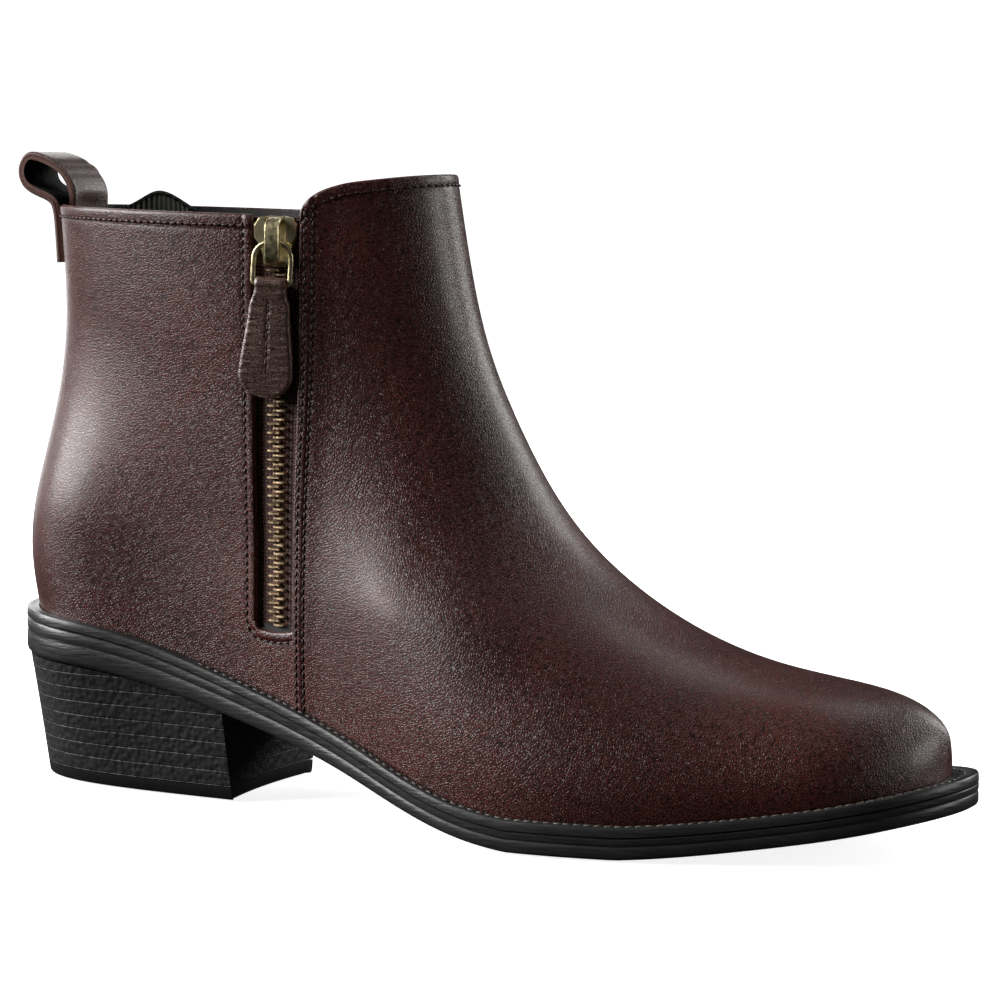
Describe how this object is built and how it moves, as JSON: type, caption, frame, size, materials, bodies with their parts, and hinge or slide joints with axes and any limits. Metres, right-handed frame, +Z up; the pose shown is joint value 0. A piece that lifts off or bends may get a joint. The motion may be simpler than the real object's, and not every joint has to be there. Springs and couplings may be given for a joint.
{
  "type": "zip ankle boot",
  "caption": "Right leather ankle boot with an almond toe, a low block heel, an outer side zip and a pull loop at the back.",
  "frame": {"origin": "centre of the heel's tread, on the floor", "axes": "+Y to the toe, +X to the outer side with the zip, +Z up"},
  "size_m": [0.0903, 0.2751, 0.174],
  "materials": {
    "upper_leather": "smooth grained burgundy brown leather, satin",
    "strap_leather": "grey brown leather strap on black webbing",
    "sole": "black, satin edge",
    "heel_stack": "black stacked heel with a coarse grain",
    "lift": "black, matt",
    "insole": "black lining leather",
    "zip_tape": "brown woven tape",
    "zip_metal": "antique brass",
    "gusset": "grey ribbed textile with a black bound edge"
  },
  "bodies": {
    "root": {"outsole": "sole", "welt": "sole", "heel": "heel_stack", "heel_lift": "lift", "upper": "upper_leather", "insole": "insole", "zip_tape": "zip_tape", "zip_teeth": "zip_metal", "zip_slider": "zip_metal", "pull_loop": "strap_leather", "collar_gusset": "gusset"},
    "pull_tab": {"zip_bail": "zip_metal", "zip_pull": "upper_leather"}
  },
  "joints": [
    {"name": "pull_tab_hinge", "type": "hinge", "parent": "root", "child": "pull_tab", "pos_m": [0.03084, 0.05266, 0.15098], "axis": [0.2223, -0.9731, 0.0613], "range_deg": [0, 150]}
  ]
}
